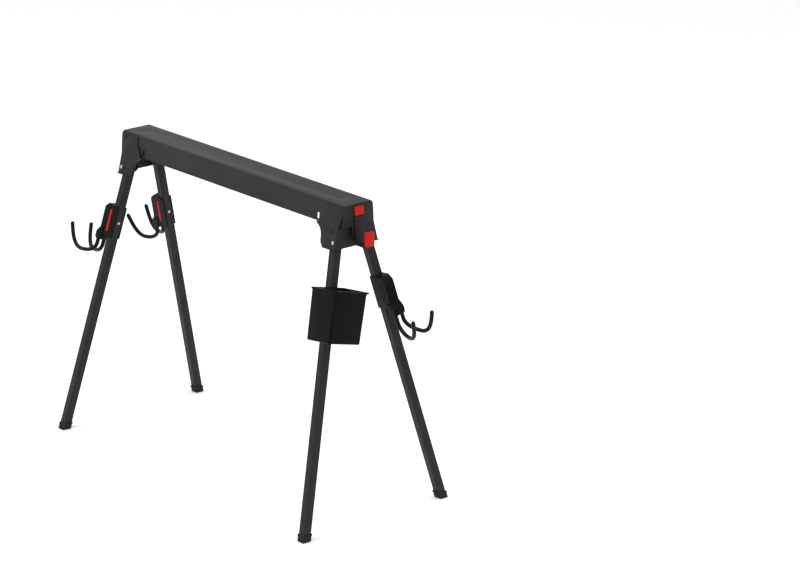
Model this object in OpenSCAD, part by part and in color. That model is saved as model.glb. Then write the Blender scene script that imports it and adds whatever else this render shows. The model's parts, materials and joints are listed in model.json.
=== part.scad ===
// Folding sawhorse: a folded steel beam on four square-tube legs that turn up
// along the beam, with a lift-up lumber strap at each end and clip-on hooks and bin.
// X runs along the beam, Y across it, Z up. The origin is the middle of the stance
// on the floor. Right is +X, left is -X, front is -Y and rear is +Y.

/* [Stand] */
// Height of the work surface above the floor
stand_h = 912; // [760:1:1100]
// Length of the beam
beam_len = 1028; // [860:1:1240]

/* [Beam] */
// Depth of the beam
beam_h = 63.5; // [52:0.5:76]
// Width of the beam across its top
beam_top_w = 98; // [88:1:120]
// How much wider the beam is at its bottom edge
beam_flare = 14; // [8:1:20]
// Thickness of the beam's sheet
beam_t = 2; // [1.2:0.1:2.6]
// Radius of the beam's top bends
beam_bend_r = 5; // [3.5:0.5:8]
// Distance of the side slots from the middle of the beam
slot_x = 407; // [330:1:415]
// Width of a side slot
slot_w = 9; // [5:0.5:11]
// Length of a side slot
slot_len = 19; // [14:0.5:24]

/* [Legs] */
// Outer width of the square leg tube
leg_w = 25.4; // [22:0.2:31]
// Wall of the leg tube
leg_wall = 1.5; // [1:0.1:2.5]
// Corner radius of the leg tube
leg_corner_r = 3; // [2:0.5:4]
// Splay of the legs across the beam, in degrees
leg_splay = 14; // [10:0.5:18]
// Lean of the legs along the beam, in degrees
leg_lean = 6.6; // [4:0.2:10]
// Depth of the upper pair of pivots below the work surface
pivot_drop = 82; // [80:1:100]
// Distance of those pivots from the end of the beam
pivot_inset = 36; // [34:1:48]
// Gap between a folded leg and the folded leg above it
stack_gap = 2.6; // [2.2:0.1:6]
// Gap between a leg and the beam's bottom edge as the leg passes it
beam_gap = 0.8; // [0.4:0.1:3]
// Tube above the pivot
leg_head = 12; // [11:0.5:14]

/* [Feet] */
// Width of a rubber foot
foot_w = 28; // [27:0.5:34]
// Height of a rubber foot
foot_h = 20; // [14:1:40]

/* [Pivots] */
// Radius of the pivot pins
pin_r = 4; // [3:0.25:5]
// Wall of the bush that turns on a pin
bush_wall = 2; // [1:0.25:3]
// Running clearance between a pin and its bush
pin_clear = 0.05; // [0.02:0.01:0.1]
// Width of the friction washer between a leg and the yoke
washer_t = 1; // [0.6:0.1:2]

/* [End brackets] */
// Thickness of the bracket sheet
bracket_t = 2.5; // [1.6:0.1:3.5]
// Gap between a leg and the side plate outside it
bracket_gap = 8; // [5:0.5:12]
// Depth of the side plates below the work surface
bracket_drop = 124; // [120:1:150]
// Radius of the arch cut under the beam
arch_r = 40; // [26:1:42]
// Width of the side plate's foot
bracket_foot_w = 42; // [38:1:52]
// Radius of the rivets
rivet_r = 3; // [2:0.5:4]

/* [Lumber straps] */
// Thickness of the lumber that a strap carries
lumber_t = 38; // [32:1:46]
// Height of the lumber that a strap carries
lumber_h = 89; // [70:1:100]
// Depth of the lumber's top below the work surface
lumber_drop = 25; // [10:1:30]
// Play beside the lumber
lumber_play = 0.5; // [0.3:0.1:4]
// Width of a strap
strap_w = 28; // [20:1:40]
// Thickness of a strap
strap_t = 3; // [2:0.5:4]
// Height of the outer arm
strap_arm_h = 42; // [30:1:60]
// How far the straps lift
strap_lift = 45; // [20:1:60]
// Thickness of the red tips' wall
tip_wall = 1.5; // [1:0.1:2]

/* [Hooks] */
// Distance of the hooks' middle below the work surface, along Z
hook_drop = 274; // [262:1:420]
// Length of a hook's clip along the leg
hook_len = 98; // [84:1:130]
// Reach of a hook's body beyond the leg's middle
hook_depth = 48; // [40:1:58]
// Radius of the hook wire
wire_r = 6; // [4:0.25:6.5]
// Distance between a hook's two wires where they leave the body
wire_pitch = 22; // [20:1:26]
// Reach of the prongs beyond the body
prong_reach = 108; // [80:1:140]
// Distance between the prong tips
prong_spread = 70; // [40:1:90]
// Wall of the clips that hug a leg
clip_wall = 3.5; // [2.5:0.1:5]
// Clearance between a clip and the leg
clip_clear = 0.3; // [0.2:0.05:0.6]

/* [Bin] */
// Distance of the bin's rim below the work surface, along Z
bin_drop = 228; // [205:1:380]
// Height of the bin
bin_h = 146; // [110:1:180]
// Width of the bin across the leg
bin_w = 113; // [90:1:150]
// Depth of the bin at its rim
bin_d = 106; // [80:1:150]
// How much shallower the bin is at its bottom
bin_taper = 8; // [0:1:30]
// Wall of the bin
bin_wall = 2.2; // [1.5:0.1:3.5]
// Width of the bin's rim
bin_rim = 5; // [3:0.5:8]
// How far the bin's middle stands outboard of the leg
bin_offset = 30; // [0:1:36]

/* [Hidden] */

$fn = 48;
EPS = 0.01;      // overlap that makes a cut pass right through
FIT = 0.15;      // gap between assembled faces that must not touch
NEAR = 0.3;      // gap beside a face that slides or turns past
BEAR = 0.1;      // gap between faces that bear on each other

STEEL = "#3a3b3c";
BLACK = "#1d1d1e";
ZINC = "#b9bcbe";
RED = "#c0282a";

// Beam: half widths at the top and the bottom edge, and its side's slope
beam_bottom = stand_h - beam_h;
beam_half_top = beam_top_w / 2;
beam_half_bottom = beam_half_top + beam_flare / 2;
side_slope = (beam_half_bottom - beam_half_top) / beam_h;
side_a = atan(side_slope);
beam_end = beam_len / 2;
slot_edge = 5;   // metal left below a slot
function beam_half(z) = beam_half_top + (stand_h - z) * side_slope;

// Legs: their middle plane leans by the splay, and the leg leans within it
sin_s = sin(leg_splay);
cos_s = cos(leg_splay);
leg_down = [sin(leg_lean), cos(leg_lean) * sin_s, -cos(leg_lean) * cos_s];
function leg_plane_y(z) = beam_half_bottom - beam_t - beam_gap - leg_w / 2 / cos_s
    + (beam_bottom - z) * tan(leg_splay);
// Height along the splayed plane of a point at height z that stands d outside the plane
function up(z, d = 0) = (z - d * sin_s) / cos_s;
stack_step = leg_w + stack_gap;
pivot_high = [beam_end - pivot_inset, leg_plane_y(stand_h - pivot_drop), stand_h - pivot_drop];
pivot_low = pivot_high + leg_down * stack_step / cos(leg_lean);
function pivot(sx) = sx > 0 ? pivot_high : pivot_low;
// Distance from a pivot down the leg to height z
function along(sx, z) = (pivot(sx)[2] - z) / (cos(leg_lean) * cos_s);
// X of the legs' middle line at height z
function leg_x(z) = pivot_high[0] + (pivot_high[2] - z) / (cos(leg_lean) * cos_s) * sin(leg_lean);
bush_r = pin_r + pin_clear + bush_wall;
pin_head_r = pin_r + 2;

// Brackets
plate_in = leg_w / 2 + bracket_gap;      // side plate's inner face from the leg plane
plate_out = plate_in + bracket_t;
bracket_bottom = stand_h - bracket_drop;
// Height at which the splayed plate's inner face reaches the beam's side
lap_z = beam_bottom + (leg_plane_y(beam_bottom) + plate_in / cos_s - beam_half_bottom)
    / (tan(leg_splay) - side_slope);
lap_top = stand_h - beam_bend_r - 1;
plug_cap = 2;                            // plug's cap above the end of the tube
leg_swing = norm([leg_head + plug_cap, leg_w / 2]);
wall_in = pivot_low[0] + leg_swing + 1;  // end wall's inner face, clear of the leg's head as it turns
wall_out = wall_in + bracket_t;
yoke_out = -leg_w / 2 - washer_t;        // yoke's face from the leg plane
yoke_in = yoke_out - bracket_t;
yoke_half = leg_w / 2 + 6;               // half the yoke's length along the beam
yoke_chamfer = 8;
yoke_drop = 12;                          // how far it hangs below the lower pivots
arch_fillet = 22;                        // radius between the arch and the plate's foot
arch_x = wall_out - bracket_foot_w - arch_r - arch_fillet;
rivet_head_r = rivet_r * 1.8;
tail_r = rivet_r * 1.6;                  // formed tail behind the sheets
tail_h = 1.2;
pin_tail = 2.2;                          // formed end of a pivot pin
lap_pitch = 44;                          // distance between a lap's two rivets
web_pitch = 22;                          // distance between a yoke's two rivets
tail_edge = 1;                           // metal left round a rivet's tail
web_rivet_x = pivot_high[0] - yoke_half - tail_r - tail_edge;
tab_half = web_pitch / 2 + tail_r + tail_edge;
foot_lip = 3;                            // lip turned out along the plate's foot
// The corner rivet stands level with the lower pivot's upper side, clear of that pin's head
corner_at = [pivot_low[0] + pin_head_r + rivet_head_r + 1, pivot_low[2] + 4];
arch_cut = 37;                           // run of the plate's sloping edge, which clears the slot
arch_start = 75;                         // where the arch begins, in degrees from level
lap_mid = [(arch_x + arch_cut + beam_end) / 2, (lap_z + lap_top) / 2];

// Lumber straps
strap_x = beam_end + NEAR;
strap_front = strap_x + strap_t;
pocket_x = strap_front + 2 * tip_wall;   // inner face of the space for the lumber
tip_out_x = pocket_x + lumber_play + lumber_t + tip_wall;
bend_in = strap_t + 2 * tip_wall + FIT;  // the strap's bends start beyond the red tips, so that
bend_out = strap_t + tip_wall + FIT;     // nothing hangs over the shelf's flat
shelf_z = stand_h - lumber_drop - lumber_h;
tip_z = shelf_z + bend_out - strap_t;    // underside of the outer red tip
strap_top = stand_h - 8;
tongue_z = shelf_z + 24;                 // bottom of the tongue behind the strap
tongue_w = strap_w + 16;
tip_h = 24;                              // height of the inner red tip
tip_top = 2;                             // red over the end of the inner arm
arm_end = 3;                             // red over the end of the outer arm
loop_h = 12;
loop_wall = 2.5;
loop_front = 1.6;
loop_z = strap_top - tip_h - 4 - loop_h; // below the inner tip and above the lifted shelf

// Clips
clip_in = leg_w / 2 + clip_clear;
clip_out = clip_in + clip_wall;
clip_head_r = rivet_r * 1.5;
clip_head_h = 1.4;
bin_u = clip_out;

// ---------------------------------------------------------------- helpers

// A rounded rectangle centred on the origin
module rounded(w, d, r) {
    square([w - 2 * r, d], center = true);
    square([w, d - 2 * r], center = true);
    for (x = [-1, 1], y = [-1, 1]) translate([x * (w / 2 - r), y * (d / 2 - r)]) circle(r);
}

// Points of an arc from angle a to angle b
function arc(c, r, a, b, n = 8) = [for (i = [0:n]) let (t = a + (b - a) * i / n)
    c + r * [cos(t), sin(t)]];

// Children are drawn for the right rear quarter and mirrored to side sx, sy
module quarter(sx, sy) {
    if (sx > 0 && sy > 0) children();
    if (sx > 0 && sy < 0) mirror([0, 1, 0]) children();
    if (sx < 0 && sy > 0) mirror([1, 0, 0]) children();
    if (sx < 0 && sy < 0) mirror([1, 0, 0]) mirror([0, 1, 0]) children();
}

// Frame of the right rear leg at its pivot: X outward along the beam, Y outward
// across it, Z up the leg
module on_leg(sx) translate(pivot(sx)) rotate([leg_splay, 0, 0]) rotate([0, -leg_lean, 0]) children();

// Frame of the splayed plane: X along the beam, Y outward normal, Z up the slope
module on_plane() translate([0, leg_plane_y(0), 0]) rotate([leg_splay, 0, 0]) children();

// An outline drawn in X and Z, made solid from y0 to y1
module slab_y(y0, y1) translate([0, y1, 0]) rotate([90, 0, 0]) linear_extrude(y1 - y0) children();

// A cylinder along Y from y0 to y1
module rod_y(r, y0, y1) translate([0, y0, 0]) rotate([-90, 0, 0]) cylinder(r = r, h = y1 - y0);

// A tube of radius r swept along points p, with rings that keep to the Y direction
function unit(v) = v / norm(v);
function tangent(p, i) = unit(p[min(i + 1, len(p) - 1)] - p[max(i - 1, 0)]);
function ring(c, t, r, n) = let (b = unit(cross([0, 1, 0], t)), d = cross(t, b))
    [for (k = [0:n - 1]) c + r * (b * cos(360 * k / n) + d * sin(360 * k / n))];
module sweep(p, r, n = 12) {
    m = len(p);
    pts = [for (i = [0:m - 1]) each ring(p[i], tangent(p, i), r, n)];
    walls = [for (i = [0:m - 2], k = [0:n - 1])
        [i * n + k, (i + 1) * n + k, (i + 1) * n + (k + 1) % n, i * n + (k + 1) % n]];
    polyhedron(pts, concat(walls, [[for (k = [0:n - 1]) k]], [[for (k = [n - 1:-1:0]) (m - 1) * n + k]]));
}

// Point at t on a cubic Bezier curve
function bezier(a, b, c, d, t) = pow(1 - t, 3) * a + 3 * pow(1 - t, 2) * t * b
    + 3 * (1 - t) * t * t * c + t * t * t * d;

// ---------------------------------------------------------------- beam

// Section of the beam in Y and Z, drawn in by the sheet's thickness d. Its bends are tangent
// to the sloping side, and every section shares their centre.
module beam_outline(d) {
    lap = d / cos(side_a);
    low = beam_bottom - (d > 0 ? 1 : 0);
    centre = [beam_half(stand_h - beam_bend_r) - beam_bend_r / cos(side_a), stand_h - beam_bend_r];
    half = concat([[beam_half(low) - lap, low]], arc(centre, beam_bend_r - d, side_a, 90, 6));
    polygon(concat(half, [for (k = [len(half) - 1:-1:0]) [-half[k][0], half[k][1]]]));
}

module beam() color(STEEL) difference() {
    translate([beam_t - beam_end, 0, 0]) rotate([90, 0, 90])
        linear_extrude(beam_len - 2 * beam_t) difference() {
            beam_outline(0);
            beam_outline(beam_t);
        }
    for (sx = [-1, 1]) translate([sx * slot_x, 0, beam_bottom + slot_len / 2 + slot_edge]) rotate([90, 0, 0])
        linear_extrude(3 * beam_half_bottom, center = true) {
            square([slot_w, slot_len - slot_w], center = true);
            for (k = [-1, 1]) translate([0, k * (slot_len - slot_w) / 2]) circle(slot_w / 2);
        }
    for (sx = [-1, 1], sy = [-1, 1]) lap_rivets(sx, sy) rod_y(rivet_r, -2 * bracket_t, 2 * bracket_t);
    for (sx = [-1, 1]) yoke_rivets(sx) cylinder(r = rivet_r, h = 8 * beam_t, center = true);
}

// ---------------------------------------------------------------- end brackets

// Places of the rivets through a side bracket's lap and the beam's side
module lap_rivets(sx, sy) quarter(sx, sy) for (k = [-1, 1])
    translate([lap_mid[0] + k * lap_pitch / 2, beam_half(lap_mid[1]), lap_mid[1]])
        rotate([side_a, 0, 0]) children();

// Place of the rivet through the side plate's outer corner, on the plate's outer face
module corner_rivet(sx, sy) quarter(sx, sy)
    translate([corner_at[0], plate_y(corner_at[1]), corner_at[1]])
        rotate([leg_splay, 0, 0]) translate([0, bracket_t, 0]) children();

// Places of the rivets that hold a yoke under the beam's top, on a tab inboard of its cheeks
module yoke_rivets(sx) for (k = [-1, 1])
    translate([sx * web_rivet_x, k * web_pitch / 2, stand_h - beam_t]) children();

// Y of the side plate's inner face at height z
function plate_y(z) = leg_plane_y(z) + plate_in / cos_s;

// Outline of the side bracket seen along Y: sloping edge, arch, fillet, foot and end edge
function bracket_points() = concat(
    [[arch_x + arch_cut, lap_top], [arch_x + arch_cut, lap_z]],
    arc([arch_x, beam_bottom - arch_r], arch_r, arch_start, 0, 12),
    arc([arch_x + arch_r + arch_fillet, bracket_bottom + arch_fillet], arch_fillet, 180, 270, 6),
    [[wall_out, bracket_bottom], [wall_out, beam_bottom], [beam_end, lap_z], [beam_end, lap_top]]);

// Section of the side bracket in Y and Z: lap on the beam, splayed plate, and a lip at the foot
module bracket_section() {
    lap = bracket_t / cos(side_a);
    plate = bracket_t / cos_s;
    b = bracket_bottom;
    bend_z = lap_z + (plate - lap) / (tan(leg_splay) - side_slope);
    polygon([[beam_half(lap_top), lap_top], [beam_half(lap_z), lap_z], [plate_y(b), b],
        [plate_y(b) + plate + foot_lip, b], [plate_y(b) + plate + foot_lip, b + bracket_t],
        [plate_y(b + bracket_t) + plate, b + bracket_t], [beam_half(bend_z) + lap, bend_z],
        [beam_half(lap_top) + lap, lap_top]]);
}

// The flange along the arch, which turns inwards from the plate
module arch_flange() intersection() {
    translate([0, 3 * beam_half_bottom, 0]) rotate([90, 0, 0]) linear_extrude(3 * beam_half_bottom)
        polygon(concat(arc([arch_x, beam_bottom - arch_r], arch_r, arch_start - 5, 0, 10),
            arc([arch_x, beam_bottom - arch_r], arch_r + bracket_t, 0, arch_start - 5, 10)));
    translate([arch_x, 0, 0]) rotate([90, 0, 90]) linear_extrude(2 * arch_r) polygon([
        for (p = [[leg_w / 2 + NEAR, bracket_bottom], [plate_in + 1, bracket_bottom],
            [plate_in + 1, beam_bottom], [leg_w / 2 + NEAR, beam_bottom]])
            [leg_plane_y(p[1]) + p[0] / cos_s, p[1]]]);
}

module side_bracket(sx, sy) color(STEEL) quarter(sx, sy) difference() {
    union() {
        intersection() {
            translate([arch_x - 1, 0, 0]) rotate([90, 0, 90])
                linear_extrude(beam_end - arch_x + 2) bracket_section();
            translate([0, 3 * beam_half_bottom, 0]) rotate([90, 0, 0]) linear_extrude(3 * beam_half_bottom)
                polygon(bracket_points());
        }
        arch_flange();
    }
    on_leg(sx) rod_y(pin_r, -leg_w, 2 * plate_out);
    lap_rivets(1, 1) rod_y(rivet_r, -2 * bracket_t, 2 * bracket_t);
    corner_rivet(1, 1) rod_y(rivet_r, -2 * bracket_t, 2 * bracket_t);
}

// Plate that closes the beam's end, with a tongue behind the lumber strap and a loop round it
module end_plate(sx) color(STEEL) quarter(sx, 1) {
    translate([beam_end - beam_t, 0, 0]) rotate([90, 0, 90]) linear_extrude(beam_t) {
        beam_outline(0);
        translate([-tongue_w / 2, tongue_z]) square([tongue_w, beam_bottom - tongue_z + EPS]);
    }
    difference() {
        translate([beam_end - EPS, -strap_w / 2 - NEAR - loop_wall, loop_z])
            cube([strap_t + 2 * NEAR + loop_front + EPS, strap_w + 2 * (NEAR + loop_wall), loop_h]);
        translate([beam_end - 1, -strap_w / 2 - NEAR, loop_z - 1])
            cube([strap_t + 2 * NEAR + 1, strap_w + 2 * NEAR, loop_h + 2]);
    }
}

// Wall between the two side plates of one end, outside the legs
module end_wall(sx) color(STEEL) quarter(sx, 1) translate([wall_in, 0, 0]) rotate([90, 0, 90])
    linear_extrude(bracket_t) polygon([
        [-plate_y(bracket_bottom), bracket_bottom], [plate_y(bracket_bottom), bracket_bottom],
        [plate_y(beam_bottom), beam_bottom], [-plate_y(beam_bottom), beam_bottom]]);

// Yoke under the beam's top: an inner cheek beside each leg, joined by a web with a tab
module hinge_yoke(sx) color(STEEL) quarter(sx, 1) difference() {
    web_z = stand_h - beam_t - bracket_t;
    low = up(pivot_low[2] - yoke_drop, yoke_in);
    middle = up(pivot(sx)[2], yoke_in);
    top = up(web_z + bracket_t / 2, yoke_in);
    union() {
        for (sy = [-1, 1]) quarter(1, sy) on_plane() slab_y(yoke_in, yoke_out)
            translate([pivot(sx)[0], 0]) polygon([
                [-yoke_half, middle], [yoke_chamfer - yoke_half, low],
                [yoke_half - yoke_chamfer, low], [yoke_half, middle],
                [yoke_half, top], [-yoke_half, top]]);
        translate([pivot(sx)[0] - yoke_half, -web_half(), web_z])
            cube([2 * yoke_half, 2 * web_half(), bracket_t]);
        translate([web_rivet_x - tail_r - tail_edge, -tab_half, web_z])
            cube([pivot(sx)[0] - yoke_half - web_rivet_x + tail_r + tail_edge + EPS, 2 * tab_half, bracket_t]);
    }
    for (sy = [-1, 1]) quarter(1, sy) on_leg(sx) rod_y(pin_r, -2 * leg_w, leg_w);
    yoke_rivets(1) cylinder(r = rivet_r, h = 8 * beam_t, center = true);
}
function web_half() = leg_plane_y(stand_h - beam_t) + yoke_out / cos_s;

// Painted rivets of one end: four through the laps and two through the yoke's web
module bracket_rivets(sx) color(BLACK) {
    for (sy = [-1, 1]) lap_rivets(sx, sy) {
        rod_y(rivet_r, -beam_t - tail_h, bracket_t + EPS);
        translate([0, bracket_t, 0]) rotate([-90, 0, 0]) rivet_head();
        rod_y(tail_r, -beam_t - tail_h, -beam_t - BEAR);
    }
    yoke_rivets(sx) translate([0, 0, -bracket_t - tail_h]) {
        cylinder(r = rivet_r, h = beam_t + bracket_t + tail_h);
        cylinder(r = tail_r, h = tail_h);
    }
}

// Bright rivet through each side plate's outer corner
module corner_rivets(sx) color(ZINC) for (sy = [-1, 1]) corner_rivet(sx, sy) {
    rod_y(rivet_r, -bracket_t - tail_h, EPS);
    rotate([-90, 0, 0]) rivet_head();
    rod_y(tail_r, -bracket_t - tail_h, -bracket_t);
}

// A low domed head that stands on Z = 0
module rivet_head(r = rivet_head_r, h = rivet_r * 0.7) {
    brim = h * 0.3;
    rotate_extrude() polygon(concat([[0, 0], [r, 0]],
        [for (a = [0:15:90]) [r * cos(a), brim + (h - brim) * sin(a)]]));
}

// ---------------------------------------------------------------- pivots

module pivot_pin(sx, sy) color(BLACK) quarter(sx, sy) on_leg(sx) {
    rod_y(pin_r, yoke_in - pin_tail, plate_out + EPS);
    translate([0, plate_out, 0]) rotate([-90, 0, 0]) rivet_head(pin_head_r, pin_r * 0.8);
    rod_y(pin_head_r, yoke_in - pin_tail, yoke_in);
}

module pivot_spacers(sx) color(ZINC) for (sy = [-1, 1]) quarter(sx, sy) on_leg(sx) difference() {
    rod_y(pin_head_r, leg_w / 2 + NEAR, plate_in);
    rod_y(pin_r, 0, plate_out);
}

module friction_washers(sx) color(ZINC) for (sy = [-1, 1]) quarter(sx, sy) on_leg(sx) difference() {
    rod_y(pin_r * 2.4, yoke_out, -leg_w / 2 - BEAR);
    rod_y(pin_r, yoke_in, 0);
}

// ---------------------------------------------------------------- legs

foot_floor = 5;    // rubber under the end of the tube
foot_below = 12;   // drawn this far below the floor, which cuts the foot level
collar_h = 5;      // collar round the foot's bottom
collar_out = 0.6;

module leg_tube(sx, sy, clip_z) color(STEEL) quarter(sx, sy) on_leg(sx) {
    low = -along(sx, foot_floor);
    difference() {
        translate([0, 0, low]) linear_extrude(leg_head - low) difference() {
            rounded(leg_w, leg_w, leg_corner_r);
            rounded(leg_w - 2 * leg_wall, leg_w - 2 * leg_wall, leg_corner_r - leg_wall);
        }
        rod_y(bush_r, -leg_w, leg_w);
        translate([0, 0, -along(sx, clip_z)]) rotate([0, 90, 0])
            cylinder(r = rivet_r, h = 2 * leg_w, center = true);
    }
}

module foot(sx, sy) color(BLACK) quarter(sx, sy) difference() {
    on_leg(sx) translate([0, 0, -along(sx, -foot_below)]) {
        linear_extrude(along(sx, -foot_below) - along(sx, foot_h))
            rounded(foot_w, foot_w, leg_corner_r + 1);
        linear_extrude(along(sx, -foot_below) - along(sx, collar_h))
            rounded(foot_w + 2 * collar_out, foot_w + 2 * collar_out, leg_corner_r + 1);
    }
    on_leg(sx) translate([0, 0, -along(sx, foot_floor)]) linear_extrude(2 * foot_h)
        rounded(leg_w, leg_w, leg_corner_r);
    translate([0, 0, -stand_h]) cube([beam_len, beam_len, stand_h]);
}

module leg_plug(sx, sy) color(BLACK) quarter(sx, sy) on_leg(sx) {
    translate([0, 0, leg_head]) linear_extrude(plug_cap) rounded(leg_w, leg_w, leg_corner_r);
    translate([0, 0, bush_r]) linear_extrude(leg_head - bush_r + EPS)
        rounded(leg_w - 2 * leg_wall, leg_w - 2 * leg_wall, leg_corner_r - leg_wall);
}

module hinge_bush(sx, sy) color(ZINC) quarter(sx, sy) on_leg(sx) difference() {
    rod_y(bush_r, -leg_w / 2, leg_w / 2);
    rod_y(pin_r + pin_clear, -leg_w, leg_w);
}

// Rivet that a clip's socket sits over, with a low head on each face of the leg
module clip_rivet(sx, sy, clip_z) color(ZINC) quarter(sx, sy)
    on_leg(sx) translate([0, 0, -along(sx, clip_z)]) {
        rotate([0, 90, 0]) cylinder(r = rivet_r, h = leg_w, center = true);
        for (k = [-1, 1]) translate([k * leg_w / 2, 0, 0]) rotate([0, k * 90, 0])
            rivet_head(clip_head_r, clip_head_h);
    }

// ---------------------------------------------------------------- lumber straps

// The strap's side outline in X and Z: an inner arm, a shelf and an outer arm
module strap_outline() {
    x0 = strap_x;
    x1 = tip_out_x + strap_t;
    z0 = shelf_z - strap_t;
    c0 = [x0 + bend_in, z0 + bend_in];
    c1 = [x1 - bend_out, z0 + bend_out];
    top = shelf_z + strap_arm_h - arm_end;
    polygon(concat(
        [[x0, strap_top - tip_top]], arc(c0, bend_in, 180, 270, 5), arc(c1, bend_out, 270, 360, 5),
        [[x1, top], [x1 - strap_t, top]],
        arc(c1, bend_out - strap_t, 360, 270, 5), arc(c0, bend_in - strap_t, 270, 180, 5),
        [[x0 + strap_t, strap_top - tip_top]]));
}

module lumber_strap(sx) color(STEEL) quarter(sx, 1) slab_y(-strap_w / 2, strap_w / 2) strap_outline();

module strap_outer_tip(sx) color(RED) quarter(sx, 1) {
    h = shelf_z + strap_arm_h - tip_z;
    difference() {
        translate([tip_out_x - tip_wall, 0, tip_z + h / 2]) rotate([90, 0, 90])
            linear_extrude(strap_t + 2 * tip_wall) rounded(strap_w + 2 * tip_wall, h, 5);
        translate([tip_out_x, -strap_w / 2, tip_z - 1]) cube([strap_t, strap_w, h + 1 - arm_end]);
    }
}

module strap_inner_tip(sx) color(RED) quarter(sx, 1) {
    w = strap_w + 2 * tip_wall;
    difference() {
        translate([beam_end + FIT, 0, strap_top - tip_h / 2]) rotate([90, 0, 90])
            linear_extrude(pocket_x - beam_end - FIT) rounded(w, tip_h, 4);
        translate([strap_x, -strap_w / 2, strap_top - tip_h - 1])
            cube([strap_t, strap_w, tip_h + 1 - tip_top]);
    }
}

// ---------------------------------------------------------------- hooks

hook_z = stand_h - hook_drop;
wire_u = hook_depth + 3;       // middle line of the wires where they leave the body
socket_wall = 2;
socket_half = wire_pitch / 2 + wire_r + socket_wall;
bulge_u = wire_u + wire_r + socket_wall;   // how far the wire socket stands out
bulge_w = hook_len / 2 + 20;   // how far it hangs below the clip's middle
hook_shoulder = [17, 18];      // run and height of the body's sloping shoulders
bulge_r = 8;
inlay_len = hook_len - 30;
inlay_w = 8;
inlay_t = 1.2;
inlay_proud = 0.4;

// Side that the hook's front faces in its quarter's frame: all the hooks are the same part
function hook_face(sx, sy) = sx * sy;

module at_hook(sx) on_leg(sx) translate([0, 0, -along(sx, hook_z)]) children();

// Side outline of the hook's body, X outward and Z up the leg
module hook_outline() {
    h = hook_len / 2;
    polygon([[-leg_w / 2, -h], [-leg_w / 2, h], [hook_depth - hook_shoulder[0], h],
        [hook_depth, h - hook_shoulder[1]], [hook_depth, -h], [hook_depth - hook_shoulder[0], -h]]);
}

// Side outline of the socket that holds the wires
module socket_outline() {
    h = hook_len / 2;
    polygon(concat(
        [[hook_depth - hook_shoulder[0], hook_shoulder[1] - h], [hook_depth, hook_shoulder[1] - h]],
        arc([bulge_u - bulge_r, 2 - h], bulge_r, 60, 0, 4),
        [[bulge_u, -h - 6], [bulge_u - 2, -bulge_w], [hook_depth - 12, -bulge_w],
            [hook_depth - hook_shoulder[0], -h]]));
}

// Middle line of one prong: down out of the socket, round and up to the tip
wire_in = 30;     // how far a wire goes up into the body
function prong(k) = let (
    a = [wire_u, k * wire_pitch / 2, wire_in - bulge_w],
    b = [wire_u, k * wire_pitch / 2, -bulge_w - 14],
    c = [wire_u + prong_reach * 0.48, k * (wire_pitch + prong_spread) / 4, -bulge_w - 52],
    d = [wire_u + prong_reach, k * prong_spread / 2, -bulge_w + 8])
    concat([a],
        [for (i = [0:6]) bezier(b, b + [0, 0, -20], c - [prong_reach * 0.3, k * 5, -4], c, i / 6)],
        [for (i = [1:7]) bezier(c, c + [prong_reach * 0.3, k * 5, -4], d - [10, k * 3, 30], d, i / 7)]);

module hook_body(sx, sy) color(BLACK) quarter(sx, sy) at_hook(sx) difference() {
    union() {
        slab_y(-clip_out, clip_out) hook_outline();
        slab_y(-socket_half, socket_half) socket_outline();
    }
    // channel for the leg, open on the side away from the hook
    translate([-2 * leg_w + clip_in, -clip_in, -hook_len]) cube([2 * leg_w, 2 * clip_in, 2 * hook_len]);
    // socket for the rivet's head
    rotate([0, 90, 0]) cylinder(r = clip_head_r + NEAR, h = clip_in + 2);
    // wire sockets
    for (k = [-1, 1]) translate([wire_u, k * wire_pitch / 2, -bulge_w - 1])
        cylinder(r = wire_r, h = wire_in + 1);
    // groove for the inlay
    translate([leg_w / 2 + 3, hook_face(sx, sy) * clip_out, 0])
        cube([inlay_w, 2 * inlay_t, inlay_len], center = true);
}

module hook_wire(sx, sy) color(BLACK) quarter(sx, sy) at_hook(sx) for (k = [-1, 1]) {
    sweep(prong(k), wire_r * 0.98);
    translate(prong(k)[len(prong(k)) - 1]) sphere(wire_r, $fn = 16);
}

module hook_inlay(sx, sy) color(RED) quarter(sx, sy) at_hook(sx)
    translate([leg_w / 2 + 3, hook_face(sx, sy) * (clip_out - (inlay_t - inlay_proud) / 2), 0])
        cube([inlay_w, inlay_t + inlay_proud, inlay_len], center = true);

// ---------------------------------------------------------------- bin

bin_z = stand_h - bin_drop;
clip_len = 90;
clip_mid = 48;    // the clip's middle below the rim
bin_clip_z = bin_z - clip_mid * cos(leg_lean) * cos_s;

module at_bin(sx) on_leg(sx) translate([0, 0, -along(sx, bin_z)]) children();

// Side outline of the bin, drawn in by d
module bin_outline(d, lid) polygon([[bin_u + d, lid], [bin_u + bin_d - d, lid],
    [bin_u + bin_d - bin_taper - d, -bin_h + d], [bin_u + d, -bin_h + d]]);

module tool_bin() color(BLACK) quarter(1, -1) at_bin(1) translate([0, bin_offset, 0]) difference() {
    union() {
        slab_y(-bin_w / 2, bin_w / 2) bin_outline(0, 0);
        translate([bin_u, -bin_w / 2 - bin_rim, -bin_rim])
            cube([bin_d + bin_rim, bin_w + 2 * bin_rim, bin_rim]);
    }
    slab_y(-bin_w / 2 + bin_wall, bin_w / 2 - bin_wall) bin_outline(bin_wall, 1);
}

module bin_clip() color(BLACK) quarter(1, -1) at_bin(1) translate([0, 0, -clip_mid]) difference() {
    translate([-leg_w / 2, -clip_out, -clip_len / 2]) cube([leg_w / 2 + clip_out, 2 * clip_out, clip_len]);
    translate([-2 * leg_w + clip_in, -clip_in, -clip_len]) cube([2 * leg_w, 2 * clip_in, 2 * clip_len]);
    rotate([0, 90, 0]) cylinder(r = clip_head_r + NEAR, h = clip_in + 2);
}

// ---------------------------------------------------------------- nodes

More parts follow.
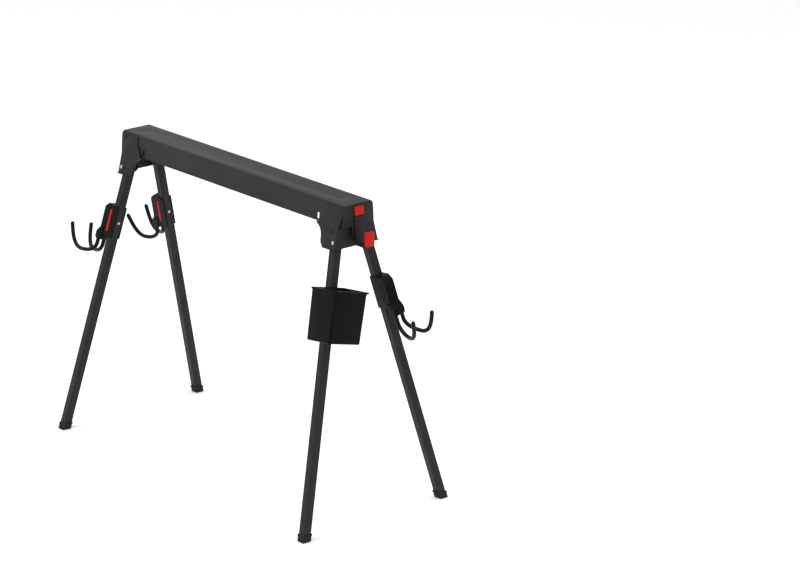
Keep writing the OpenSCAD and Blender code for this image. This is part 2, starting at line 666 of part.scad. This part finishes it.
beam();
end_plate(1);  // end_plate_right
end_plate(-1);  // end_plate_left
end_wall(1);  // end_wall_right
end_wall(-1);  // end_wall_left
side_bracket(1, -1);  // side_bracket_right_front
side_bracket(1, 1);  // side_bracket_right_rear
side_bracket(-1, -1);  // side_bracket_left_front
side_bracket(-1, 1);  // side_bracket_left_rear
hinge_yoke(1);  // hinge_yoke_right
hinge_yoke(-1);  // hinge_yoke_left
bracket_rivets(1);  // bracket_rivets_right
bracket_rivets(-1);  // bracket_rivets_left
corner_rivets(1);  // corner_rivets_right
corner_rivets(-1);  // corner_rivets_left
pivot_pin(1, -1);  // pivot_pin_right_front
pivot_pin(1, 1);  // pivot_pin_right_rear
pivot_pin(-1, -1);  // pivot_pin_left_front
pivot_pin(-1, 1);  // pivot_pin_left_rear
pivot_spacers(1);  // pivot_spacers_right
pivot_spacers(-1);  // pivot_spacers_left
friction_washers(1);  // friction_washers_right
friction_washers(-1);  // friction_washers_left
leg_tube(1, -1, bin_clip_z);  // leg_tube_right_front
leg_tube(1, 1, hook_z);  // leg_tube_right_rear
leg_tube(-1, -1, hook_z);  // leg_tube_left_front
leg_tube(-1, 1, hook_z);  // leg_tube_left_rear
foot(1, -1);  // foot_right_front
foot(1, 1);  // foot_right_rear
foot(-1, -1);  // foot_left_front
foot(-1, 1);  // foot_left_rear
leg_plug(1, -1);  // leg_plug_right_front
leg_plug(1, 1);  // leg_plug_right_rear
leg_plug(-1, -1);  // leg_plug_left_front
leg_plug(-1, 1);  // leg_plug_left_rear
hinge_bush(1, -1);  // hinge_bush_right_front
hinge_bush(1, 1);  // hinge_bush_right_rear
hinge_bush(-1, -1);  // hinge_bush_left_front
hinge_bush(-1, 1);  // hinge_bush_left_rear
clip_rivet(1, -1, bin_clip_z);  // clip_rivet_right_front
clip_rivet(1, 1, hook_z);  // clip_rivet_right_rear
clip_rivet(-1, -1, hook_z);  // clip_rivet_left_front
clip_rivet(-1, 1, hook_z);  // clip_rivet_left_rear
lumber_strap(1);  // lumber_strap_right
lumber_strap(-1);  // lumber_strap_left
strap_outer_tip(1);  // strap_outer_tip_right
strap_outer_tip(-1);  // strap_outer_tip_left
strap_inner_tip(1);  // strap_inner_tip_right
strap_inner_tip(-1);  // strap_inner_tip_left
hook_body(1, 1);  // hook_body_right_rear
hook_body(-1, -1);  // hook_body_left_front
hook_body(-1, 1);  // hook_body_left_rear
hook_wire(1, 1);  // hook_wire_right_rear
hook_wire(-1, -1);  // hook_wire_left_front
hook_wire(-1, 1);  // hook_wire_left_rear
hook_inlay(1, 1);  // hook_inlay_right_rear
hook_inlay(-1, -1);  // hook_inlay_left_front
hook_inlay(-1, 1);  // hook_inlay_left_rear
tool_bin();
bin_clip();
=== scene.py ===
import json
import math

import bmesh
import bpy
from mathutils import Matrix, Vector


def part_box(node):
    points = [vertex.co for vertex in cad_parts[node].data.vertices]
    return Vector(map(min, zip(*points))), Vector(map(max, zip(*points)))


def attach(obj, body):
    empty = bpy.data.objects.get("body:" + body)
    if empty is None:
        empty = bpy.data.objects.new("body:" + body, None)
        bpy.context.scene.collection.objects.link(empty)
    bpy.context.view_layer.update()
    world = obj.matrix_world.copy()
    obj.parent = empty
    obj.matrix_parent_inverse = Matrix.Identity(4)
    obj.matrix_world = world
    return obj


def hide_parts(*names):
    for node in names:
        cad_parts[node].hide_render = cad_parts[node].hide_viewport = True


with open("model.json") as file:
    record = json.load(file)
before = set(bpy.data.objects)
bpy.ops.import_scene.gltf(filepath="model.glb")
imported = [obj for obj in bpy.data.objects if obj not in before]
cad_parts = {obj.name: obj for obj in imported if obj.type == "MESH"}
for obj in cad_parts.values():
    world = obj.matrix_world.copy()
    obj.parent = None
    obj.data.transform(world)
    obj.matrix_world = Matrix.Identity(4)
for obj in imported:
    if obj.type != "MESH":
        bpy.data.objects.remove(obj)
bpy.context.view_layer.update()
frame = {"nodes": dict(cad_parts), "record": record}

MM = 0.001
RECORD = frame["record"]
JOINTS = {j["name"]: j for j in RECORD["behaviour"]["joints"]}
SLOTS = {p["node"]: p["material_slot"] for p in RECORD["subparts"]}
BODY = {node: body for body, nodes in RECORD["behaviour"]["bodies"].items() for node in nodes}

# Sizes shared with the CAD model, in millimetres
LEG_W = 25.4
FOOT_W = 28.0
FOOT_H = 20.0
CLIP_IN = 13.0      # inner half width of a clip's channel
CLIP_OUT = 16.5     # outer half width of a clip
HOOK_LEN = 98.0
HOOK_DEPTH = 48.0
WIRE_R = 6.0
WIRE_PITCH = 22.0
PRONG_REACH = 108.0
PRONG_SPREAD = 70.0
SOCKET_HALF = 19.0  # half width of the socket that holds the wires
INLAY_LEN = 68.0
INLAY_W = 8.0
BIN_H = 146.0
BIN_W = 113.0
BIN_D = 106.0
BIN_TAPER = 8.0
BIN_WALL = 2.2
BIN_RIM = 5.0
BIN_OFFSET = 30.0   # how far the bin's middle is to one side of its leg
BIN_CLIP_MID = 48.0  # height of the bin's top edge above its clip's rivet

# Sizes of the finer shapes alone, in millimetres
FOOT_SLEEVE = 0.4   # how far the foot's sleeve stands out past FOOT_W
FOOT_RIM = 1.3      # the same for its rim
FOOT_RIM_LOW = 5.4  # from the foot's top down to the rim's lower edge
FOOT_RIM_HIGH = 0.8  # the same to the rim's upper edge
FOOT_TUCK = 0.3     # how far its bottom edge is inside FOOT_W
FOOT_LIP = 0.6      # how far its top edge stands out past FOOT_W
FOOT_EASE = 0.8     # height over which each of these turns into the next
FOOT_SEAT = 6       # height of the floor inside the foot, which the tube stands on
FOOT_GAP = 0.02     # gap between the foot and the tube
WIRE_OUT = 3        # how far the wires' roots are past the hook body's depth
SOCKET_SKIN = 2     # plastic past the wires
SOCKET_TOP = 18     # how far the socket goes up from the hook body's lower end
SOCKET_LOW = 20     # how far it goes below that end
WIRE_SINK = 30      # how far up inside the socket the wires start
WIRE_DROP = 14      # their straight length below it
BEND_AT = 0.48      # share of the prongs' reach at which their bend is lowest
BEND_LOW = 52       # depth of the bend below the socket
TIP_HIGH = 8        # height of the tips above the socket's lower end
BEND_PULL = 0.3     # share of the reach that the bend's handles take
BEND_SPLAY = 5      # how far the handles turn outward
BEND_TILT = 4       # how far they turn down
WIRE_EASE = 20      # handle that carries the straight length on
TIP_HANDLE = (10, 3, 30)
STRAIGHT_STEPS = 4
DIP_STEPS = 14
RISE_STEPS = 16
BODY_ROUND = 1.4    # radius of the hook body's edges
BODY_CORNER = 14    # how far the body's sloping top corner is cut back
GROOVE_U = (21, 31)
GROOVE_W = (-26, 30)
GROOVE_WIDE = 2.6
GROOVE_DEEP = 1.3
GROOVE_ROUND = 1.2
SCREW_U = 39
SCREW_W = (27, -29)
SCREW_R = 2.6
SCREW_DEEP = 5
SEAT_U = (10, 21.5)
SEAT_HALF = 37
SEAT_DEEP = 0.9
SEAT_ROUND = 3
CHANNEL_BACK = 40   # how far the channel's cutter reaches behind the leg
CHANNEL_HALF = 90
PROUD = 2           # how far a cutter stands out of the face that it cuts
INLAY_OUT = 3       # from the leg's outer face to the inlay's middle
INLAY_DEEP = 1.4
INLAY_PROUD = 0.3
INLAY_ROUND = 2
INLAY_EDGE = 0.4

# Angles in degrees between faces, above which their edge is shaded sharp or rounded
SHARP_NEW = 35.0
SHARP_BIN = 50
SHARP_SOFTENED = 38
SHARP_CARVED = 32
ROUND_CAD = 40
ROUND_SOFTENED = 30
FLAT_CAD = 0.5      # below this, two faces are joined into one
FLAT_SOFTENED = 0.3

WELD = 1e-6         # metres within which vertices are one
BEVEL_PROFILE = 0.6
CORNER_STEPS = 5
TUBE_SIDES = 16
CAP_STEPS = 4
CAP_ANGLE = 85      # degrees of a tube's round cap, which stops short of a point


# ------------------------------------------------------------------ materials

TONE_BAND = (0.3, 0.7)      # range of the blotch noise over which the colour goes dark to light
SCUFF_BAND = (0.66, 0.74)   # range of the scuff noise over which a scuff fades in
SCUFF_SCALE = 150.0
SCUFF_GAIN = 3              # a scuff is this many times as bright as the paint
SCUFF_LIFT = 0.05
GRAIN_HEIGHT = 0.0004       # metres
BLOTCH_DETAIL = 6.0
GRAIN_DETAIL = 3.0
SCUFF_DETAIL = 8.0


def surface(name, colour, rough, *, metal=0.0, vary=0.25, grain=900.0, bump=0.08, blotch=14.0,
            rough_spread=0.1, shine=0.5, scuff=0.0):
    """A procedural finish: colour that varies softly, uneven gloss, fine grain and faint scuffs."""
    mat = bpy.data.materials.new(name)
    mat.use_nodes = True
    nodes, links = mat.node_tree.nodes, mat.node_tree.links
    shader = nodes["Principled BSDF"]
    shader.inputs["Metallic"].default_value = metal
    shader.inputs["Specular IOR Level"].default_value = shine

    place = nodes.new("ShaderNodeTexCoord")

    def noise(scale, detail):
        node = nodes.new("ShaderNodeTexNoise")
        node.inputs["Scale"].default_value = scale
        node.inputs["Detail"].default_value = detail
        links.new(place.outputs["Object"], node.inputs["Vector"])
        return node.outputs["Fac"]

    blotches = noise(blotch, BLOTCH_DETAIL)
    fine = noise(grain, GRAIN_DETAIL)

    ramp = nodes.new("ShaderNodeValToRGB")
    ramp.color_ramp.elements[0].position = TONE_BAND[0]
    ramp.color_ramp.elements[1].position = TONE_BAND[1]
    ramp.color_ramp.elements[0].color = (*[c * (1 - vary) for c in colour], 1)
    ramp.color_ramp.elements[1].color = (*[min(1, c * (1 + vary)) for c in colour], 1)
    links.new(blotches, ramp.inputs["Fac"])
    tint = ramp.outputs["Color"]

    if scuff:
        marks = nodes.new("ShaderNodeValToRGB")
        marks.color_ramp.elements[0].position = SCUFF_BAND[0]
        marks.color_ramp.elements[1].position = SCUFF_BAND[1]
        marks.color_ramp.elements[1].color = (scuff, scuff, scuff, 1)
        links.new(noise(SCUFF_SCALE, SCUFF_DETAIL), marks.inputs["Fac"])
        mix = nodes.new("ShaderNodeMix")
        mix.data_type = "RGBA"
        mark_colour = [min(1, c * SCUFF_GAIN + SCUFF_LIFT) for c in colour]
        mix.inputs["B"].default_value = (*mark_colour, 1)
        links.new(marks.outputs["Color"], mix.inputs["Factor"])
        links.new(tint, mix.inputs["A"])
        tint = mix.outputs["Result"]
    links.new(tint, shader.inputs["Base Color"])

    gloss = nodes.new("ShaderNodeMapRange")
    gloss.inputs["To Min"].default_value = rough - rough_spread
    gloss.inputs["To Max"].default_value = rough + rough_spread
    links.new(blotches, gloss.inputs["Value"])
    links.new(gloss.outputs["Result"], shader.inputs["Roughness"])

    relief = nodes.new("ShaderNodeBump")
    relief.inputs["Strength"].default_value = bump
    relief.inputs["Distance"].default_value = GRAIN_HEIGHT
    links.new(fine, relief.inputs["Height"])
    links.new(relief.outputs["Normal"], shader.inputs["Normal"])
    return mat


PAINT = dict(shine=0.15, bump=0.16)

MATERIALS = {
    "beam_paint": surface("beam_paint", (0.0150, 0.0155, 0.0160), 0.52, scuff=0.04, **PAINT),
    "bracket_paint": surface("bracket_paint", (0.0130, 0.0135, 0.0140), 0.50, scuff=0.04, **PAINT),
    "leg_paint": surface("leg_paint", (0.0125, 0.0126, 0.0130), 0.50, scuff=0.05, **PAINT),
    "strap_paint": surface("strap_paint", (0.0110, 0.0115, 0.0120), 0.46, scuff=0.04,
                           shine=0.15, bump=0.14),
    "zinc": surface("zinc", (0.38, 0.39, 0.40), 0.32, metal=1.0, vary=0.1, blotch=60.0, bump=0.05),
    "pin_black": surface("pin_black", (0.0090, 0.0090, 0.0095), 0.45, bump=0.06, shine=0.2),
    "rubber": surface("rubber", (0.0110, 0.0110, 0.0115), 0.80, bump=0.25, grain=1500.0,
                      vary=0.2, shine=0.2),
    "plug_plastic": surface("plug_plastic", (0.0060, 0.0060, 0.0065), 0.55, bump=0.10, shine=0.15),
    "hook_plastic": surface("hook_plastic", (0.0028, 0.0028, 0.0030), 0.36, bump=0.12,
                            grain=1400.0, shine=0.06),
    "wire_coat": surface("wire_coat", (0.0032, 0.0032, 0.0036), 0.34, bump=0.06, shine=0.12),
    "bin_plastic": surface("bin_plastic", (0.0018, 0.0018, 0.0020), 0.24, bump=0.05, vary=0.15,
                           shine=0.06, rough_spread=0.05),
    "red_plastic": surface("red_plastic", (0.42, 0.011, 0.009), 0.44, vary=0.08, bump=0.08,
                           grain=1200.0, shine=0.1),
}


# ------------------------------------------------------------------ mesh tools

def to_object(name, bm, sharp=SHARP_NEW):
    """An object from a bmesh, smooth shaded except along edges sharper than the given angle."""
    bmesh.ops.recalc_face_normals(bm, faces=bm.faces)
    mesh = bpy.data.meshes.new(name)
    bm.to_mesh(mesh)
    bm.free()
    obj = bpy.data.objects.new(name, mesh)
    bpy.context.collection.objects.link(obj)
    shade(mesh, sharp)
    return obj


def stand_for(obj, node):
    """obj is shown in place of the CAD node: it rides on its body and takes its finish."""
    slot = SLOTS[node]
    obj.data.materials.clear()
    obj.data.materials.append(MATERIALS[slot])
    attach(obj, BODY[node])
    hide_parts(node)


def sharp_edges(bm, angle):
    """Edges between two faces that meet more sharply than the angle, in degrees."""
    limit = math.radians(angle)
    return [e for e in bm.edges if len(e.link_faces) == 2 and e.calc_face_angle(0) > limit]


def round_edges(bm, flat, angle, width, segments):
    """Joins faces flatter than flat, then rounds edges sharper than angle by width millimetres."""
    bmesh.ops.remove_doubles(bm, verts=bm.verts, dist=WELD)
    bmesh.ops.dissolve_limit(bm, angle_limit=math.radians(flat), verts=bm.verts, edges=bm.edges)
    bmesh.ops.bevel(bm, geom=sharp_edges(bm, angle), offset=width * MM, segments=segments,
                    profile=BEVEL_PROFILE, affect="EDGES", clamp_overlap=True)


def refined(node, bevel):
    """The CAD node's own shape with its flats joined up and its edges rounded by bevel millimetres."""
    bm = bmesh.new()
    bm.from_mesh(frame["nodes"][node].data)
    round_edges(bm, FLAT_CAD, ROUND_CAD, bevel, segments=2)
    stand_for(to_object(node + "_fine", bm), node)


def loft(rings):
    """A closed bmesh skinned over rings of the same number of points."""
    bm = bmesh.new()
    rows = [[bm.verts.new(p) for p in ring] for ring in rings]
    count = len(rows[0])
    for a, b in zip(rows, rows[1:]):
        for k in range(count):
            bm.faces.new((a[k], a[(k + 1) % count], b[(k + 1) % count], b[k]))
    bm.faces.new(rows[0])
    bm.faces.new(rows[-1])
    return bm


def rounded_rect(x0, x1, y0, y1, radius, steps=6):
    """Rectangle with rounded corners, as a list of (x, y)."""
    corners = ((x1 - radius, y1 - radius, 0), (x0 + radius, y1 - radius, 90),
               (x0 + radius, y0 + radius, 180), (x1 - radius, y0 + radius, 270))
    return [(cx + radius * math.cos(math.radians(start + 90 * i / steps)),
             cy + radius * math.sin(math.radians(start + 90 * i / steps)))
            for cx, cy, start in corners for i in range(steps + 1)]


def rounded_path(points):
    """A closed outline of (x, y, radius) corners with each corner rounded."""
    out = []
    for i, (x, y, radius) in enumerate(points):
        here = Vector((x, y))
        before = (Vector(points[i - 1][:2]) - here).normalized()
        after = (Vector(points[(i + 1) % len(points)][:2]) - here).normalized()
        half = before.angle(after) / 2
        start = here + before * (radius / math.tan(half))
        end = here + after * (radius / math.tan(half))
        for k in range(CORNER_STEPS + 1):
            t = k / CORNER_STEPS
            bend = start.lerp(here, t).lerp(here.lerp(end, t), t)
            out.append((bend.x, bend.y))
    return out


def prism(outline, place, lo, hi):
    """A bmesh of an outline in (u, w), solid from v = lo to v = hi, put through place."""
    return loft([[place(u, v, w) for u, w in outline] for v in (lo, hi)])


def tube(points, radius):
    """A bmesh tube along points, with a round cap at its far end."""
    rings = []
    side = Vector((0, 1, 0))
    last = len(points) - 1
    for i, p in enumerate(points):
        along = (points[min(i + 1, last)] - points[max(i - 1, 0)]).normalized()
        side = (side - along * side.dot(along)).normalized()
        up = along.cross(side)
        steps = [(0, radius)]
        if i == last:
            for k in range(1, CAP_STEPS + 1):
                turn = math.radians(CAP_ANGLE * k / CAP_STEPS)
                steps.append((radius * math.sin(turn), radius * math.cos(turn)))
        for ahead, r in steps:
            rings.append([p + along * ahead + (side * math.cos(a) + up * math.sin(a)) * r
                          for a in (2 * math.pi * k / TUBE_SIDES for k in range(TUBE_SIDES))])
    return loft(rings)


def carve(obj, cutters, operation="DIFFERENCE"):
    """Cuts each cutter out of obj, or joins it on, and puts the result into obj's mesh."""
    for cutter in cutters:
        mod = obj.modifiers.new("cut", "BOOLEAN")
        mod.operation = operation
        mod.solver = "EXACT"
        mod.object = cutter
    solved = obj.evaluated_get(bpy.context.evaluated_depsgraph_get())
    done = bpy.data.meshes.new_from_object(solved)
    obj.modifiers.clear()
    obj.data = done
    for cutter in cutters:
        bpy.data.objects.remove(cutter)


def shade(mesh, sharp):
    """Smooth shading, except along edges sharper than the given angle."""
    mesh.shade_smooth()
    mesh.set_sharp_from_angle(angle=math.radians(sharp))


def soften(obj, width):
    """Rounds obj's sharp edges by width millimetres, in its mesh."""
    bm = bmesh.new()
    bm.from_mesh(obj.data)
    round_edges(bm, FLAT_SOFTENED, ROUND_SOFTENED, width, segments=3)
    bmesh.ops.recalc_face_normals(bm, faces=bm.faces)
    bm.to_mesh(obj.data)
    bm.free()
    shade(obj.data, SHARP_SOFTENED)


# ------------------------------------------------------------------ legs' own frames

# Every leg of the stand, with the kind of joint that its hook or bin slides on
ACCESSORY = {("right", "front"): "bin_off", ("right", "rear"): "hook_off",
             ("left", "front"): "hook_off", ("left", "rear"): "hook_off"}


def leg_axes(side, end):
    """The leg's pivot in metres, then u out along the beam, v out across it and w up the leg."""
    fold = JOINTS[f"fold_{side}_{end}"]
    u = Vector(JOINTS[f"{ACCESSORY[side, end]}_{side}_{end}"]["axis"]).normalized()
    v = Vector(fold["axis"]).normalized()
    if v.y * (1 if end == "rear" else -1) < 0:
        v = -v
    w = u.cross(v)
    if w.z < 0:
        w = -w
    return Vector(fold["pos_m"]), u, v, w


def clip_place(side, end):
    """A function from (u, v, w) in millimetres, from the clip's rivet, to a place in the frame."""
    pivot, u, v, w = leg_axes(side, end)
    lo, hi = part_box(f"clip_rivet_{side}_{end}")
    down = ((Vector(lo) + Vector(hi)) / 2 - pivot).dot(w)
    origin = pivot + w * down
    return lambda a, b, c: origin + (u * a + v * b + w * c) * MM


# ------------------------------------------------------------------ pieces

def foot(side, end):
    """Rubber foot: a sleeve round the tube, thick at its top rim and cut level at the floor."""
    pivot, u, v, w = leg_axes(side, end)

    def at(a, b, height):
        base = pivot + (u * a + v * b) * MM
        return base + w * ((height * MM - base.z) / w.z)

    rings = []
    profile = ((0, -FOOT_TUCK), (FOOT_EASE, FOOT_SLEEVE),
               (FOOT_H - FOOT_RIM_LOW - FOOT_EASE, FOOT_SLEEVE), (FOOT_H - FOOT_RIM_LOW, FOOT_RIM),
               (FOOT_H - FOOT_RIM_HIGH, FOOT_RIM), (FOOT_H, FOOT_LIP))
    for height, grow in profile:
        half = FOOT_W / 2 + grow
        rings.append([at(a, b, height) for a, b in rounded_rect(-half, half, -half, half, 4)])
    inner = LEG_W / 2 + FOOT_GAP
    for height in (FOOT_H, FOOT_SEAT):
        rings.append([at(a, b, height) for a, b in rounded_rect(-inner, inner, -inner, inner, 3)])
    stand_for(to_object(f"foot_{side}_{end}_fine", loft(rings)), f"foot_{side}_{end}")


def hook_body(side, end, face):
    """Moulded hook body: a channel over the leg, a socket for the wires, grooves and screw holes."""
    place = clip_place(side, end)
    half = HOOK_LEN / 2
    # The corners of both outlines are (u, w, radius), and the socket's start at the top of its back
    outline = rounded_path([
        (-LEG_W / 2, -half, 2), (-LEG_W / 2, half, 2), (HOOK_DEPTH - BODY_CORNER, half, 5),
        (HOOK_DEPTH, half - BODY_CORNER, 8), (HOOK_DEPTH, -half, 2)])
    swell = HOOK_DEPTH + WIRE_OUT + WIRE_R + SOCKET_SKIN
    low = -half - SOCKET_LOW
    socket = rounded_path([
        (HOOK_DEPTH - 17, SOCKET_TOP - half, 2), (HOOK_DEPTH - 1, SOCKET_TOP - half, 3),
        (swell, 2 - half, 7), (swell, -half - 14, 6), (swell - 4, low, 3), (HOOK_DEPTH - 12, low, 4),
        (HOOK_DEPTH - 18, -half, 3)])
    obj = to_object(f"hook_body_{side}_{end}_fine", prism(outline, place, -CLIP_OUT, CLIP_OUT))

    def cutter(outline, v0, v1):
        """A solid from one v to the other, whichever of the two is lower."""
        return to_object("cutter", prism(outline, place, *sorted((v0, v1))))

    def slot(u0, u1, w0, w1, radius):
        return rounded_path([(u0, w0, radius), (u1, w0, radius), (u1, w1, radius), (u0, w1, radius)])

    def disc(u, w, r):
        return [(u + r * math.cos(math.radians(a)), w + r * math.sin(math.radians(a)))
                for a in range(0, 360, 15)]

    carve(obj, [to_object("socket", prism(socket, place, -SOCKET_HALF, SOCKET_HALF))], "UNION")
    channel = [(-CHANNEL_BACK, -CHANNEL_HALF), (CLIP_IN, -CHANNEL_HALF),
               (CLIP_IN, CHANNEL_HALF), (-CHANNEL_BACK, CHANNEL_HALF)]
    carve(obj, [cutter(channel, -CLIP_IN, CLIP_IN)])
    soften(obj, BODY_ROUND)
    front, back = face * CLIP_OUT, -face * CLIP_OUT
    grooves = [cutter(slot(u, u + GROOVE_WIDE, *GROOVE_W, GROOVE_ROUND),
                      back - face * PROUD, back + face * GROOVE_DEEP) for u in GROOVE_U]
    holes = [cutter(disc(SCREW_U, w, SCREW_R), back - face * PROUD, back + face * SCREW_DEEP)
             for w in SCREW_W]
    seat = cutter(slot(*SEAT_U, -SEAT_HALF, SEAT_HALF, SEAT_ROUND),
                  front - face * SEAT_DEEP, front + face * PROUD)
    carve(obj, grooves + holes + [seat])
    shade(obj.data, SHARP_CARVED)
    stand_for(obj, f"hook_body_{side}_{end}")


def hook_inlay(side, end, face):
    """Plain red bar set into the hook's front face."""
    place = clip_place(side, end)
    middle = LEG_W / 2 + INLAY_OUT
    half = INLAY_LEN / 2
    outline = rounded_path([(middle + u * INLAY_W / 2, w * half, INLAY_ROUND)
                            for u, w in ((-1, -1), (1, -1), (1, 1), (-1, 1))])
    bar = prism(outline, place,
                *sorted((face * (CLIP_OUT - INLAY_DEEP), face * (CLIP_OUT + INLAY_PROUD))))
    obj = to_object(f"hook_inlay_{side}_{end}_fine", bar)
    soften(obj, INLAY_EDGE)
    stand_for(obj, f"hook_inlay_{side}_{end}")


def bezier(a, b, c, d, t):
    """The point at t on the cubic curve from a to d with handles b and c."""
    return a * (1 - t) ** 3 + b * (3 * t * (1 - t) ** 2) + c * (3 * t * t * (1 - t)) + d * t ** 3


def hook_wire(side, end):
    """The two dipped wire prongs, one smooth curve each, with round tips."""
    place = clip_place(side, end)
    low = -(HOOK_LEN / 2 + SOCKET_LOW)
    root = HOOK_DEPTH + WIRE_OUT
    whole = bmesh.new()
    for k in (-1, 1):
        a = Vector((root, k * WIRE_PITCH / 2, low + WIRE_SINK))
        b = Vector((root, k * WIRE_PITCH / 2, low - WIRE_DROP))
        c = Vector((root + PRONG_REACH * BEND_AT, k * (WIRE_PITCH + PRONG_SPREAD) / 4, low - BEND_LOW))
        d = Vector((root + PRONG_REACH, k * PRONG_SPREAD / 2, low + TIP_HIGH))
        down = Vector((0, 0, -WIRE_EASE))
        through = Vector((PRONG_REACH * BEND_PULL, k * BEND_SPLAY, -BEND_TILT))
        rise = Vector((TIP_HANDLE[0], k * TIP_HANDLE[1], TIP_HANDLE[2]))
        route = [a.lerp(b, i / STRAIGHT_STEPS) for i in range(STRAIGHT_STEPS)]
        route += [bezier(b, b + down, c - through, c, i / DIP_STEPS) for i in range(DIP_STEPS)]
        route += [bezier(c, c + through, d - rise, d, i / RISE_STEPS) for i in range(RISE_STEPS + 1)]
        part = tube([place(*p) for p in route], WIRE_R * MM)
        mesh = bpy.data.meshes.new("prong")
        part.to_mesh(mesh)
        part.free()
        whole.from_mesh(mesh)
        bpy.data.meshes.remove(mesh)
    stand_for(to_object(f"hook_wire_{side}_{end}_fine", whole), f"hook_wire_{side}_{end}")


def tool_bin():
    """Open moulded bin: rounded corners, a front that slopes in, and a rim that turns out and down."""
    place = clip_place("right", "front")
    v0, v1 = BIN_OFFSET - BIN_W / 2, BIN_OFFSET + BIN_W / 2

    def ring(depth, grow, radius):
        w = BIN_CLIP_MID - depth
        front = CLIP_OUT + BIN_D - BIN_TAPER * depth / BIN_H
        back = CLIP_OUT - min(grow, 0)
        return [place(u, v, w)
                for u, v in rounded_rect(back, front + grow, v0 - grow, v1 + grow, radius, 8)]

    # Depth below the top edge, distance out of the wall and corner radius: up the outside, over the
    # rim and down the inside
    profile = (
        (BIN_H, -3, 5), (BIN_H - 0.9, -0.9, 6), (BIN_H - 3, 0, 7), (BIN_RIM + 3, 0, 7),
        (BIN_RIM + 1, 0.6, 7), (BIN_RIM, BIN_RIM - 0.8, 9), (BIN_RIM - 0.8, BIN_RIM, 9),
        (0.9, BIN_RIM, 9), (0.1, BIN_RIM - 0.9, 9), (0, 0, 7), (0.4, -BIN_WALL + 0.6, 6),
        (1.5, -BIN_WALL, 5.5), (BIN_H - 6, -BIN_WALL, 5.5), (BIN_H - 3, -BIN_WALL - 2, 4))
    shell = loft([ring(*row) for row in profile])
    stand_for(to_object("tool_bin_fine", shell, sharp=SHARP_BIN), "tool_bin")


for side, end in ACCESSORY:
    foot(side, end)
    if (side, end) != ("right", "front"):
        # 1 or -1: the side of the leg, along v, that has the red bar
        face = 1 if (side == "right") == (end == "rear") else -1
        hook_body(side, end, face)
        hook_inlay(side, end, face)
        hook_wire(side, end)
tool_bin()

# How far each kind of CAD node's edges are rounded, in millimetres
EDGES = {
    "beam": 0.5, "end_plate": 0.4, "end_wall": 0.4, "side_bracket": 0.5, "hinge_yoke": 0.4,
    "bracket_rivets": 0.15, "corner_rivets": 0.15, "pivot_pin": 0.2, "pivot_spacers": 0.2,
    "friction_washers": 0.15, "leg_tube": 0.3, "leg_plug": 0.5, "hinge_bush": 0.15,
    "clip_rivet": 0.15, "lumber_strap": 0.4, "strap_outer_tip": 1.0, "strap_inner_tip": 0.8,
    "bin_clip": 1.0,
}
for node in BODY:
    kind = max((k for k in EDGES if node.startswith(k)), key=len, default=None)
    if kind:
        refined(node, EDGES[kind])


# ------------------------------------------------------------------ stage, light and camera

FLOOR_HALF = 30                     # metres
LIGHT_TARGET = (0, 0, 0.5)
CAMERA_AT = (6.965, -5.359, 3.447)
CAMERA_PITCH = 18.25                # degrees that the camera looks down
CAMERA_YAW = 40.5                   # degrees from the beam's line to where it looks
CAMERA_LENS = 143.95                # millimetres, on a sensor SENSOR_W wide
SENSOR_W = 36


def floor():
    """A plain pale floor under the stand."""
    bm = bmesh.new()
    bmesh.ops.create_grid(bm, x_segments=4, y_segments=4, size=FLOOR_HALF)
    obj = to_object("floor", bm)
    obj.data.materials.append(surface("floor", (0.86, 0.86, 0.86), 0.7, vary=0.01, bump=0.0,
                                      rough_spread=0.02))


def area_light(name, location, size, watts):
    """A round light that points at the stand's middle."""
    data = bpy.data.lights.new(name, "AREA")
    data.shape = "DISK"
    data.size = size
    data.energy = watts
    obj = bpy.data.objects.new(name, data)
    obj.location = location
    towards = Vector(LIGHT_TARGET) - Vector(location)
    obj.rotation_euler = towards.to_track_quat("-Z", "Y").to_euler()
    bpy.context.collection.objects.link(obj)


floor()
area_light("key", (-1.5, -4.5, 4.5), 4.0, 150)
area_light("fill", (5.0, 1.0, 3.0), 4.0, 40)
area_light("top", (0, 0.5, 5.0), 5.0, 110)

world = bpy.data.worlds.new("studio")
world.use_nodes = True
backdrop = world.node_tree.nodes["Background"]
backdrop.inputs["Color"].default_value = (1, 1, 1, 1)
backdrop.inputs["Strength"].default_value = 1.0
bpy.context.scene.world = world
bpy.context.scene.view_settings.view_transform = "Standard"

camera = bpy.data.cameras.new("camera")
camera.sensor_width = SENSOR_W
camera.lens = CAMERA_LENS
eye = bpy.data.objects.new("camera", camera)
pitch, yaw = math.radians(CAMERA_PITCH), math.radians(CAMERA_YAW)
looking = Vector((-math.cos(pitch) * math.cos(yaw), math.cos(pitch) * math.sin(yaw),
                  -math.sin(pitch)))
eye.location = CAMERA_AT
eye.rotation_euler = looking.to_track_quat("-Z", "Y").to_euler()
bpy.context.collection.objects.link(eye)
bpy.context.scene.camera = eye
